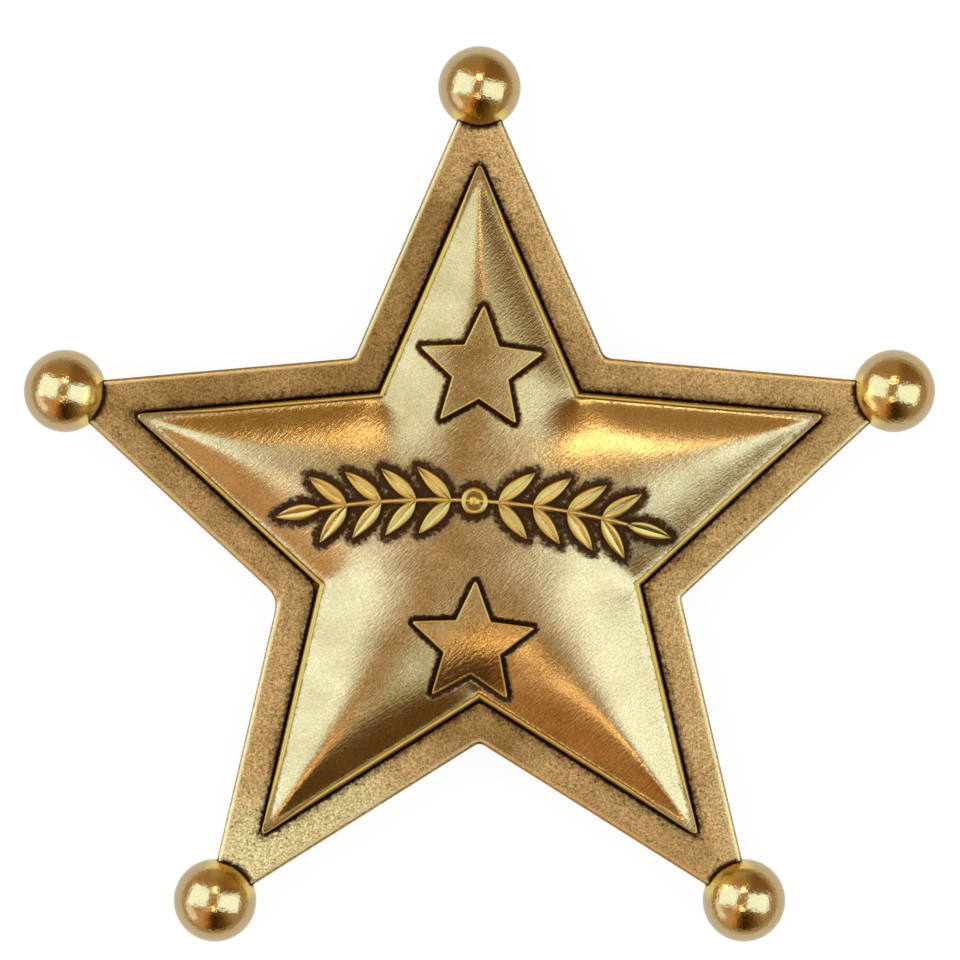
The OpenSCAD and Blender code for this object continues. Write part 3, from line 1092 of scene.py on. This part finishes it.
studioValues = {
    # the floor's paint, and its glow in the picture and as the metal reflects it near by and far off
    "floorPaint": (0.12, 0.12, 0.12),
    "floorGlow": (0.92, 0.92, 0.92),
    "floorNear": (0.66, 0.64, 0.60),
    "floorFar": (0.38, 0.27, 0.13),
    # how slanting the view is where the far floor's glow comes in, and the floor's length in metres
    "floorSlant": (0.7, 0.78),
    "floorSize": 6,
    # lamps: direction, size in elevation and across at unit distance, colour and radiance
    "lamps": {
        "leftBox": ((-0.715, 0.205, 0.668), (1.14, 0.98), (0.51, 0.81, 1.0), 1.68),
        "lowBox": ((-0.90, -0.38, 0.14), (0.5, 0.8), (0.62, 0.84, 1.0), 0.8),
        "rightBox": ((0.652, -0.118, 0.749), (1.26, 0.86), (0.545, 0.83, 1.0), 1.72),
        "warmBox": ((-0.327, -0.423, 0.845), (0.3, 0.3), (1.0, 0.62, 0.28), 0.4),
        "lampAbove": ((0.0, 0.5, 0.866), (0.2, 0.16), (1.0, 0.82, 0.5), 7.5),
        "lampBelow": ((-0.078, -0.39, 0.917), (0.11, 0.11), (1.0, 0.72, 0.38), 9.0),
    },
    "distance": 0.6,
    # colours of the room's upper half, from the middle upwards
    "upperRoom": [
        (0.0, (0.52, 0.345, 0.175)), (0.3, (0.54, 0.38, 0.19)), (0.6, (0.54, 0.35, 0.15)),
        (0.85, (0.46, 0.28, 0.10)), (1.0, (0.42, 0.30, 0.17)),
    ],
    # what its right side is multiplied by, and where that comes in across and upwards
    "upperRight": (0.55, 0.45, 0.38),
    "rightAcross": (0.05, 0.4),
    "rightUp": (0.1, 0.4),
    # colours of its lower half, from the left to the right, between which places they run, and how
    # far down they come in
    "lowerRoom": [
        (0.0, (0.72, 0.46, 0.25)), (0.12, (0.74, 0.46, 0.22)), (0.22, (0.64, 0.31, 0.11)),
        (0.33, (0.26, 0.11, 0.035)), (0.48, (0.045, 0.016, 0.004)), (0.7, (0.115, 0.07, 0.015)),
        (0.85, (0.25, 0.155, 0.055)), (1.0, (0.46, 0.34, 0.17)),
    ],
    "lowerAcross": (-0.7, 0.7),
    "lowerDown": (-0.1, -0.65),
}


def addLamp(name, towards, size, colour, radiance):
    towards = Vector(towards).normalized()
    high, wide = (s * studioValues["distance"] for s in size)
    bpy.ops.object.light_add(type="AREA", location=towards * studioValues["distance"])
    lamp = bpy.context.object
    lamp.name = name
    lamp.data.shape = "RECTANGLE"
    lamp.data.size, lamp.data.size_y = high, wide
    lamp.data.color = colour
    lamp.data.energy = radiance * math.pi * high * wide
    lamp.rotation_euler = towards.to_track_quat("Z", "X").to_euler()
    lamp.visible_camera = False


def makeFloor():
    v = studioValues
    bpy.ops.mesh.primitive_plane_add(size=v["floorSize"])
    floor = bpy.context.object
    floor.name = "floor"
    white = newMaterial("floorWhite")
    tree = white.node_tree
    out = addNode(tree, "ShaderNodeOutputMaterial", (600, 0))
    paint = addNode(tree, "ShaderNodeBsdfDiffuse", (0, 100))
    paint.inputs["Color"].default_value = (*v["floorPaint"], 1)
    glow = addNode(tree, "ShaderNodeEmission", (0, -100))
    facing = addNode(tree, "ShaderNodeLayerWeight", (-600, -100), Blend=0.5)
    fade = addRange(tree, (-400, -100), facing.outputs["Facing"], v["floorSlant"])
    colour = addOver(tree, (-200, -100), fade, v["floorNear"], v["floorFar"])
    path = addNode(tree, "ShaderNodeLightPath", (-400, -400))
    colour = addOver(tree, (-200, -300), path.outputs["Is Camera Ray"], colour, v["floorGlow"])
    tree.links.new(colour, glow.inputs["Color"])
    both = addNode(tree, "ShaderNodeAddShader", (300, 0))
    tree.links.new(paint.outputs[0], both.inputs[0])
    tree.links.new(glow.outputs[0], both.inputs[1])
    tree.links.new(both.outputs[0], out.inputs[0])
    floor.data.materials.append(white)
    return floor


def makeRoom():
    v = studioValues
    world = bpy.data.worlds.new("room")
    bpy.context.scene.world = world
    world.use_nodes = True
    tree = world.node_tree
    tree.nodes.clear()
    out = addNode(tree, "ShaderNodeOutputWorld", (900, 0))
    back = addNode(tree, "ShaderNodeBackground", (700, 0))
    place = addNode(tree, "ShaderNodeTexCoord", (-600, 0))
    split = addNode(tree, "ShaderNodeSeparateXYZ", (-400, 0))
    tree.links.new(place.outputs["Generated"], split.inputs[0])
    upper = ramp(tree, (-150, 200), v["upperRoom"])
    tree.links.new(split.outputs["Y"], upper.inputs["Fac"])
    # the upper right is darker
    rightness = addRange(tree, (-300, 450), split.outputs["X"], v["rightAcross"])
    height = addRange(tree, (-300, 650), split.outputs["Y"], v["rightUp"])
    both = addMath(tree, (-100, 500), "MULTIPLY", rightness, height)
    shade = addOver(tree, (50, 450), both, (1.0, 1.0, 1.0), v["upperRight"])
    shaded = addNode(tree, "ShaderNodeVectorMath", (200, 300), operation="MULTIPLY")
    tree.links.new(upper.outputs["Color"], shaded.inputs[0])
    tree.links.new(shade, shaded.inputs[1])
    # the lower half is warm on the left and dark in the middle
    lowness = addRange(tree, (-300, -100), split.outputs["Y"], v["lowerDown"])
    sides = ramp(tree, (-150, -200), v["lowerRoom"])
    across = addRange(tree, (-300, -300), split.outputs["X"], v["lowerAcross"])
    tree.links.new(across, sides.inputs["Fac"])
    blend = addNode(tree, "ShaderNodeMix", (100, 0), data_type="RGBA")
    tree.links.new(lowness, blend.inputs["Factor"])
    tree.links.new(shaded.outputs[0], blend.inputs["A"])
    tree.links.new(sides.outputs["Color"], blend.inputs["B"])
    tree.links.new(blend.outputs["Result"], back.inputs["Color"])
    tree.links.new(back.outputs[0], out.inputs[0])


cameraValues = {
    "place": (0.00004, 0.00114, 0.6),
    "lens": 271.3,
    "sensorWidth": 36,
    "nearest": 0.01,
}


# The camera looks straight down on the badge
def makeCamera():
    bpy.ops.object.camera_add(location=cameraValues["place"], rotation=(0, 0, 0))
    camera = bpy.context.object
    camera.data.lens = cameraValues["lens"]
    camera.data.sensor_width = cameraValues["sensorWidth"]
    camera.data.clip_start = cameraValues["nearest"]
    bpy.context.scene.camera = camera
    bpy.context.scene.view_settings.view_transform = "Standard"


print("modelling")
starPlate = makeStarPlate()
domedStar = makeDomedStar()
smallStarPair = makeSmallStars()
laurel = makeLaurel()
balls = makeBalls()

print("materials")
borderBrass = makeBrass("borderBrass", borderLook)
domeBrass = makeBrass("domeBrass", domeLook)
ballBrass = makeBrass("ballBrass", ballLook)
starPlate.data.materials.append(borderBrass)
for obj in (domedStar, smallStarPair, laurel):
    obj.data.materials.clear()
    obj.data.materials.append(domeBrass)
for obj in balls:
    obj.data.materials.append(ballBrass)
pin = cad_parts["pin_back"]
pin.data.materials.clear()
pin.data.materials.append(borderBrass)

print("frame")
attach(starPlate, "root")
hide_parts("star_plate")
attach(domedStar, "root")
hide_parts("domed_star")
for obj in (smallStarPair, laurel):
    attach(obj, "root")
ballNodes = ("ball_top", "ball_left", "ball_lower_left", "ball_lower_right", "ball_right")
for obj, node in zip(balls, ballNodes):
    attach(obj, "root")
    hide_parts(node)

print("studio")
makeFloor()
for name, values in studioValues["lamps"].items():
    addLamp(name, *values)
makeRoom()
makeCamera()
